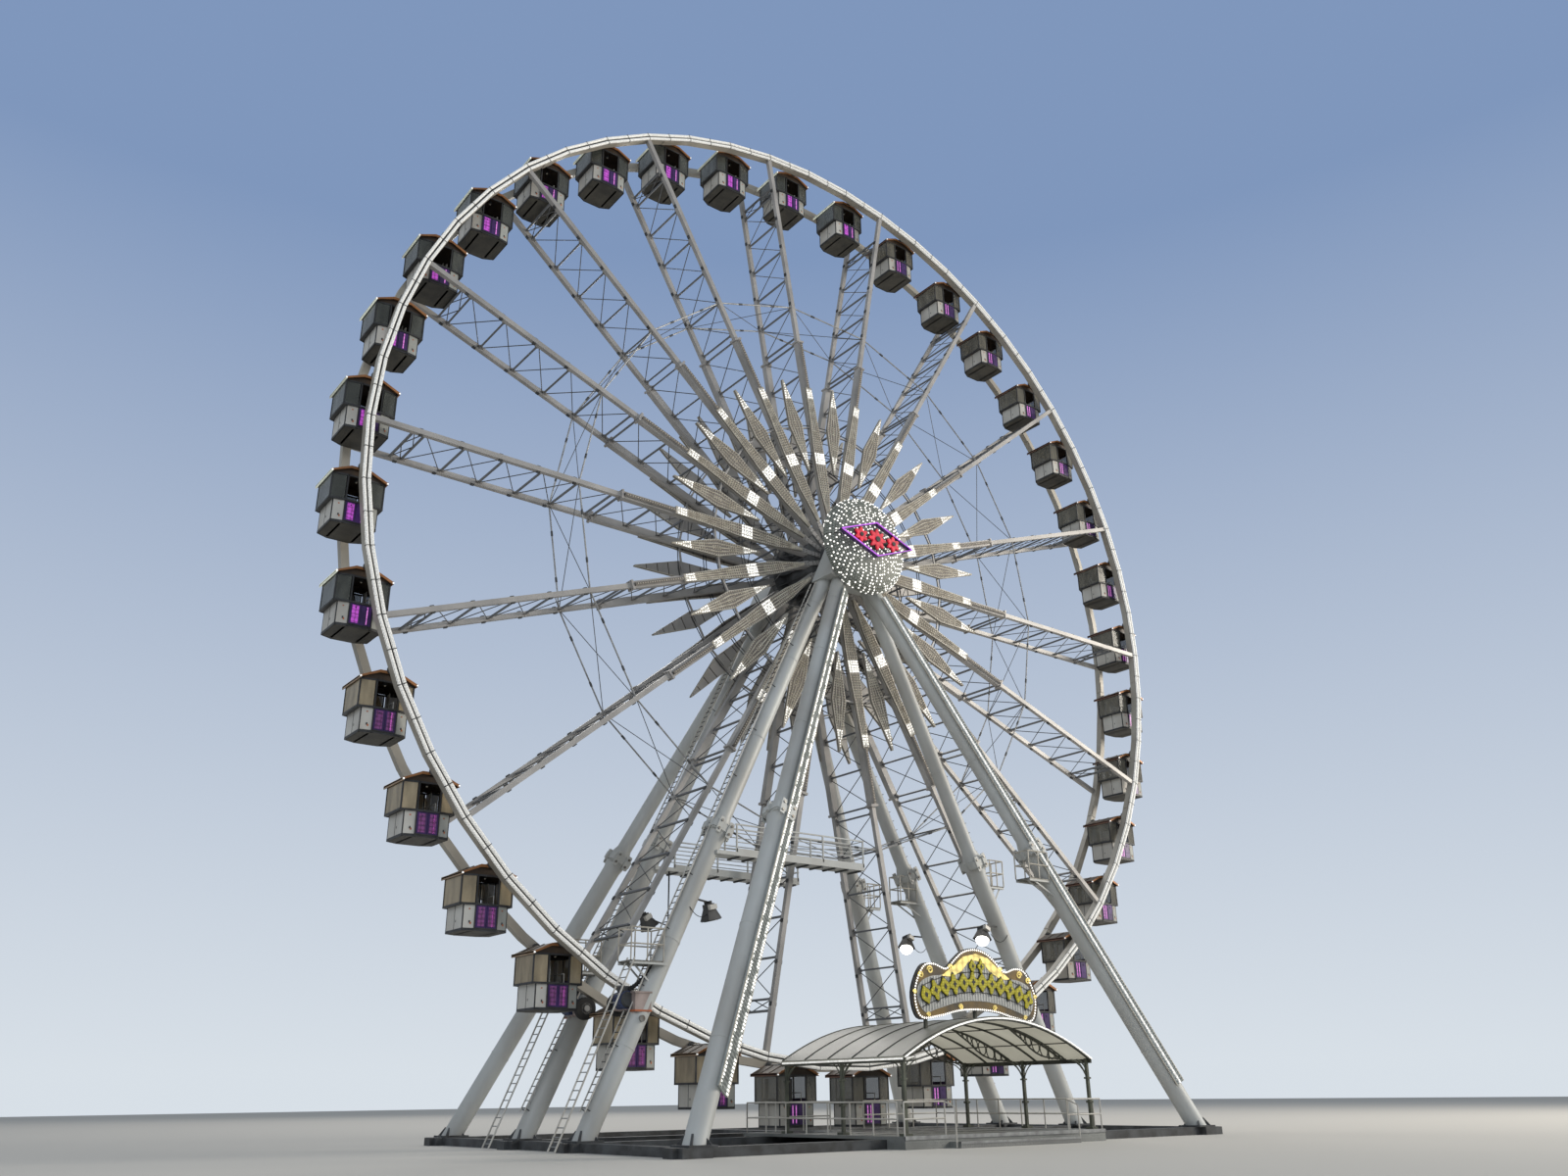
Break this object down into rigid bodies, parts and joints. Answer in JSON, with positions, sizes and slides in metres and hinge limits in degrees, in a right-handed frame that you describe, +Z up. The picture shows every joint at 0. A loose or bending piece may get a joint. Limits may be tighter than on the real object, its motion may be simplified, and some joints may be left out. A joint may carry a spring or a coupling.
{
  "type": "ferris wheel, 1:2 scale model",
  "caption": "Open-frame observation wheel with two rims, lattice spokes, hanging cabins that stay level, lighted lances and hub dome, on splayed tubular legs.",
  "frame": {"origin": "on the ground, on the underside of the middle sleeper, straight under the hub", "axes": "+Z up; +Y along the wheel's axle towards the back; the wheel turns in the XZ plane"},
  "size_m": [22.339, 9.58, 22.7634],
  "materials": {
    "steel": "satin",
    "dark_steel": "satin",
    "cabin_paint": "gloss",
    "rubber": "matte",
    "deck_plate": "matte",
    "roof_sheet": "satin",
    "lamp_white": "gloss",
    "lamp_panel": "satin",
    "smoked_glass": "gloss",
    "door_purple": "gloss",
    "copper_trim": "satin",
    "motor_blue": "gloss"
  },
  "bodies": {
    "supports": {"leg_inner_front_left": "steel", "leg_inner_front_right": "steel", "leg_outer_front_left": "steel", "leg_outer_front_right": "steel", "leg_inner_back_left": "steel", "leg_inner_back_right": "steel", "leg_outer_back_left": "steel", "leg_outer_back_right": "steel", "bearing_head_front": "steel", "bearing_head_back": "steel", "hub_dome": "lamp_panel", "catwalk_front": "deck_plate", "catwalk_back": "deck_plate", "base_frame": "dark_steel", "boarding_deck": "deck_plate", "entrance_canopy": "roof_sheet"},
    "wheel": {"spoke_fan_a": "steel", "spoke_fan_b": "steel", "spoke_fan_c": "steel", "rim_front": "steel", "rim_back": "steel", "hub_drum": "dark_steel"},
    "cabin_01": {"cabin_01": "cabin_paint"},
    "cabin_02": {"cabin_02": "cabin_paint"},
    "cabin_03": {"cabin_03": "cabin_paint"},
    "cabin_04": {"cabin_04": "cabin_paint"},
    "cabin_05": {"cabin_05": "cabin_paint"},
    "cabin_06": {"cabin_06": "cabin_paint"},
    "cabin_07": {"cabin_07": "cabin_paint"},
    "cabin_08": {"cabin_08": "cabin_paint"},
    "cabin_09": {"cabin_09": "cabin_paint"},
    "cabin_10": {"cabin_10": "cabin_paint"},
    "cabin_11": {"cabin_11": "cabin_paint"},
    "cabin_12": {"cabin_12": "cabin_paint"},
    "cabin_13": {"cabin_13": "cabin_paint"},
    "cabin_14": {"cabin_14": "cabin_paint"},
    "cabin_15": {"cabin_15": "cabin_paint"},
    "cabin_16": {"cabin_16": "cabin_paint"},
    "cabin_17": {"cabin_17": "cabin_paint"},
    "cabin_18": {"cabin_18": "cabin_paint"},
    "cabin_19": {"cabin_19": "cabin_paint"},
    "cabin_20": {"cabin_20": "cabin_paint"},
    "cabin_21": {"cabin_21": "cabin_paint"},
    "cabin_22": {"cabin_22": "cabin_paint"},
    "cabin_23": {"cabin_23": "cabin_paint"},
    "cabin_24": {"cabin_24": "cabin_paint"},
    "cabin_25": {"cabin_25": "cabin_paint"},
    "cabin_26": {"cabin_26": "cabin_paint"},
    "cabin_27": {"cabin_27": "cabin_paint"},
    "cabin_28": {"cabin_28": "cabin_paint"},
    "cabin_29": {"cabin_29": "cabin_paint"},
    "cabin_30": {"cabin_30": "cabin_paint"},
    "cabin_31": {"cabin_31": "cabin_paint"},
    "cabin_32": {"cabin_32": "cabin_paint"},
    "cabin_33": {"cabin_33": "cabin_paint"},
    "cabin_34": {"cabin_34": "cabin_paint"},
    "cabin_35": {"cabin_35": "cabin_paint"},
    "cabin_36": {"cabin_36": "cabin_paint"},
    "tyre_front": {"drive_tyre_front": "rubber"},
    "tyre_back": {"drive_tyre_back": "rubber"}
  },
  "joints": [
    {"name": "wheel_spin", "type": "hinge", "parent": "supports", "child": "wheel", "pos_m": [0, 0, 12], "axis": [0, 1, 0], "continuous": true},
    {"name": "cabin_01_hang", "type": "hinge", "parent": "wheel", "child": "cabin_01", "pos_m": [2.89093, 0, 22.30206], "axis": [0, 1, 0], "continuous": true},
    {"name": "cabin_02_hang", "type": "hinge", "parent": "wheel", "child": "cabin_02", "pos_m": [4.63595, 0, 21.64355], "axis": [0, 1, 0], "continuous": true},
    {"name": "cabin_03_hang", "type": "hinge", "parent": "wheel", "child": "cabin_03", "pos_m": [6.2401, 0, 20.69202], "axis": [0, 1, 0], "continuous": true},
    {"name": "cabin_04_hang", "type": "hinge", "parent": "wheel", "child": "cabin_04", "pos_m": [7.65465, 0, 19.47638], "axis": [0, 1, 0], "continuous": true},
    {"name": "cabin_05_hang", "type": "hinge", "parent": "wheel", "child": "cabin_05", "pos_m": [8.83662, 0, 18.03358], "axis": [0, 1, 0], "continuous": true},
    {"name": "cabin_06_hang", "type": "hinge", "parent": "wheel", "child": "cabin_06", "pos_m": [9.75009, 0, 16.40746], "axis": [0, 1, 0], "continuous": true},
    {"name": "cabin_07_hang", "type": "hinge", "parent": "wheel", "child": "cabin_07", "pos_m": [10.36731, 0, 14.64741], "axis": [0, 1, 0], "continuous": true},
    {"name": "cabin_08_hang", "type": "hinge", "parent": "wheel", "child": "cabin_08", "pos_m": [10.66953, 0, 12.80693], "axis": [0, 1, 0], "continuous": true},
    {"name": "cabin_09_hang", "type": "hinge", "parent": "wheel", "child": "cabin_09", "pos_m": [10.64756, 0, 10.94192], "axis": [0, 1, 0], "continuous": true},
    {"name": "cabin_10_hang", "type": "hinge", "parent": "wheel", "child": "cabin_10", "pos_m": [10.30206, 0, 9.10907], "axis": [0, 1, 0], "continuous": true},
    {"name": "cabin_11_hang", "type": "hinge", "parent": "wheel", "child": "cabin_11", "pos_m": [9.64355, 0, 7.36405], "axis": [0, 1, 0], "continuous": true},
    {"name": "cabin_12_hang", "type": "hinge", "parent": "wheel", "child": "cabin_12", "pos_m": [8.69202, 0, 5.7599], "axis": [0, 1, 0], "continuous": true},
    {"name": "cabin_13_hang", "type": "hinge", "parent": "wheel", "child": "cabin_13", "pos_m": [7.47638, 0, 4.34535], "axis": [0, 1, 0], "continuous": true},
    {"name": "cabin_14_hang", "type": "hinge", "parent": "wheel", "child": "cabin_14", "pos_m": [6.03359, 0, 3.16338], "axis": [0, 1, 0], "continuous": true},
    {"name": "cabin_15_hang", "type": "hinge", "parent": "wheel", "child": "cabin_15", "pos_m": [4.40746, 0, 2.24991], "axis": [0, 1, 0], "continuous": true},
    {"name": "cabin_16_hang", "type": "hinge", "parent": "wheel", "child": "cabin_16", "pos_m": [2.64741, 0, 1.63269], "axis": [0, 1, 0], "continuous": true},
    {"name": "cabin_17_hang", "type": "hinge", "parent": "wheel", "child": "cabin_17", "pos_m": [0.80693, 0, 1.33047], "axis": [0, 1, 0], "continuous": true},
    {"name": "cabin_18_hang", "type": "hinge", "parent": "wheel", "child": "cabin_18", "pos_m": [-1.05808, 0, 1.35244], "axis": [0, 1, 0], "continuous": true},
    {"name": "cabin_19_hang", "type": "hinge", "parent": "wheel", "child": "cabin_19", "pos_m": [-2.89093, 0, 1.69794], "axis": [0, 1, 0], "continuous": true},
    {"name": "cabin_20_hang", "type": "hinge", "parent": "wheel", "child": "cabin_20", "pos_m": [-4.63595, 0, 2.35645], "axis": [0, 1, 0], "continuous": true},
    {"name": "cabin_21_hang", "type": "hinge", "parent": "wheel", "child": "cabin_21", "pos_m": [-6.2401, 0, 3.30798], "axis": [0, 1, 0], "continuous": true},
    {"name": "cabin_22_hang", "type": "hinge", "parent": "wheel", "child": "cabin_22", "pos_m": [-7.65465, 0, 4.52362], "axis": [0, 1, 0], "continuous": true},
    {"name": "cabin_23_hang", "type": "hinge", "parent": "wheel", "child": "cabin_23", "pos_m": [-8.83662, 0, 5.96641], "axis": [0, 1, 0], "continuous": true},
    {"name": "cabin_24_hang", "type": "hinge", "parent": "wheel", "child": "cabin_24", "pos_m": [-9.75009, 0, 7.59254], "axis": [0, 1, 0], "continuous": true},
    {"name": "cabin_25_hang", "type": "hinge", "parent": "wheel", "child": "cabin_25", "pos_m": [-10.36731, 0, 9.35259], "axis": [0, 1, 0], "continuous": true},
    {"name": "cabin_26_hang", "type": "hinge", "parent": "wheel", "child": "cabin_26", "pos_m": [-10.66953, 0, 11.19307], "axis": [0, 1, 0], "continuous": true},
    {"name": "cabin_27_hang", "type": "hinge", "parent": "wheel", "child": "cabin_27", "pos_m": [-10.64756, 0, 13.05808], "axis": [0, 1, 0], "continuous": true},
    {"name": "cabin_28_hang", "type": "hinge", "parent": "wheel", "child": "cabin_28", "pos_m": [-10.30206, 0, 14.89093], "axis": [0, 1, 0], "continuous": true},
    {"name": "cabin_29_hang", "type": "hinge", "parent": "wheel", "child": "cabin_29", "pos_m": [-9.64355, 0, 16.63594], "axis": [0, 1, 0], "continuous": true},
    {"name": "cabin_30_hang", "type": "hinge", "parent": "wheel", "child": "cabin_30", "pos_m": [-8.69202, 0, 18.2401], "axis": [0, 1, 0], "continuous": true},
    {"name": "cabin_31_hang", "type": "hinge", "parent": "wheel", "child": "cabin_31", "pos_m": [-7.47638, 0, 19.65465], "axis": [0, 1, 0], "continuous": true},
    {"name": "cabin_32_hang", "type": "hinge", "parent": "wheel", "child": "cabin_32", "pos_m": [-6.03359, 0, 20.83662], "axis": [0, 1, 0], "continuous": true},
    {"name": "cabin_33_hang", "type": "hinge", "parent": "wheel", "child": "cabin_33", "pos_m": [-4.40746, 0, 21.75009], "axis": [0, 1, 0], "continuous": true},
    {"name": "cabin_34_hang", "type": "hinge", "parent": "wheel", "child": "cabin_34", "pos_m": [-2.64741, 0, 22.36731], "axis": [0, 1, 0], "continuous": true},
    {"name": "cabin_35_hang", "type": "hinge", "parent": "wheel", "child": "cabin_35", "pos_m": [-0.80693, 0, 22.66953], "axis": [0, 1, 0], "continuous": true},
    {"name": "cabin_36_hang", "type": "hinge", "parent": "wheel", "child": "cabin_36", "pos_m": [1.05808, 0, 22.64756], "axis": [0, 1, 0], "continuous": true},
    {"name": "tyre_front_spin", "type": "hinge", "parent": "supports", "child": "tyre_front", "pos_m": [-5.15264, 0, 2.3093], "axis": [0, 1, 0], "continuous": true},
    {"name": "tyre_back_spin", "type": "hinge", "parent": "supports", "child": "tyre_back", "pos_m": [-5.15264, 0, 2.3093], "axis": [0, 1, 0], "continuous": true}
  ],
  "couplings": [
    {"joint": "cabin_01_hang", "follows": "wheel_spin", "ratio": -1},
    {"joint": "cabin_02_hang", "follows": "wheel_spin", "ratio": -1},
    {"joint": "cabin_03_hang", "follows": "wheel_spin", "ratio": -1},
    {"joint": "cabin_04_hang", "follows": "wheel_spin", "ratio": -1},
    {"joint": "cabin_05_hang", "follows": "wheel_spin", "ratio": -1},
    {"joint": "cabin_06_hang", "follows": "wheel_spin", "ratio": -1},
    {"joint": "cabin_07_hang", "follows": "wheel_spin", "ratio": -1},
    {"joint": "cabin_08_hang", "follows": "wheel_spin", "ratio": -1},
    {"joint": "cabin_09_hang", "follows": "wheel_spin", "ratio": -1},
    {"joint": "cabin_10_hang", "follows": "wheel_spin", "ratio": -1},
    {"joint": "cabin_11_hang", "follows": "wheel_spin", "ratio": -1},
    {"joint": "cabin_12_hang", "follows": "wheel_spin", "ratio": -1},
    {"joint": "cabin_13_hang", "follows": "wheel_spin", "ratio": -1},
    {"joint": "cabin_14_hang", "follows": "wheel_spin", "ratio": -1},
    {"joint": "cabin_15_hang", "follows": "wheel_spin", "ratio": -1},
    {"joint": "cabin_16_hang", "follows": "wheel_spin", "ratio": -1},
    {"joint": "cabin_17_hang", "follows": "wheel_spin", "ratio": -1},
    {"joint": "cabin_18_hang", "follows": "wheel_spin", "ratio": -1},
    {"joint": "cabin_19_hang", "follows": "wheel_spin", "ratio": -1},
    {"joint": "cabin_20_hang", "follows": "wheel_spin", "ratio": -1},
    {"joint": "cabin_21_hang", "follows": "wheel_spin", "ratio": -1},
    {"joint": "cabin_22_hang", "follows": "wheel_spin", "ratio": -1},
    {"joint": "cabin_23_hang", "follows": "wheel_spin", "ratio": -1},
    {"joint": "cabin_24_hang", "follows": "wheel_spin", "ratio": -1},
    {"joint": "cabin_25_hang", "follows": "wheel_spin", "ratio": -1},
    {"joint": "cabin_26_hang", "follows": "wheel_spin", "ratio": -1},
    {"joint": "cabin_27_hang", "follows": "wheel_spin", "ratio": -1},
    {"joint": "cabin_28_hang", "follows": "wheel_spin", "ratio": -1},
    {"joint": "cabin_29_hang", "follows": "wheel_spin", "ratio": -1},
    {"joint": "cabin_30_hang", "follows": "wheel_spin", "ratio": -1},
    {"joint": "cabin_31_hang", "follows": "wheel_spin", "ratio": -1},
    {"joint": "cabin_32_hang", "follows": "wheel_spin", "ratio": -1},
    {"joint": "cabin_33_hang", "follows": "wheel_spin", "ratio": -1},
    {"joint": "cabin_34_hang", "follows": "wheel_spin", "ratio": -1},
    {"joint": "cabin_35_hang", "follows": "wheel_spin", "ratio": -1},
    {"joint": "cabin_36_hang", "follows": "wheel_spin", "ratio": -1},
    {"joint": "tyre_front_spin", "follows": "wheel_spin", "ratio": -53.875},
    {"joint": "tyre_back_spin", "follows": "wheel_spin", "ratio": -53.875}
  ]
}
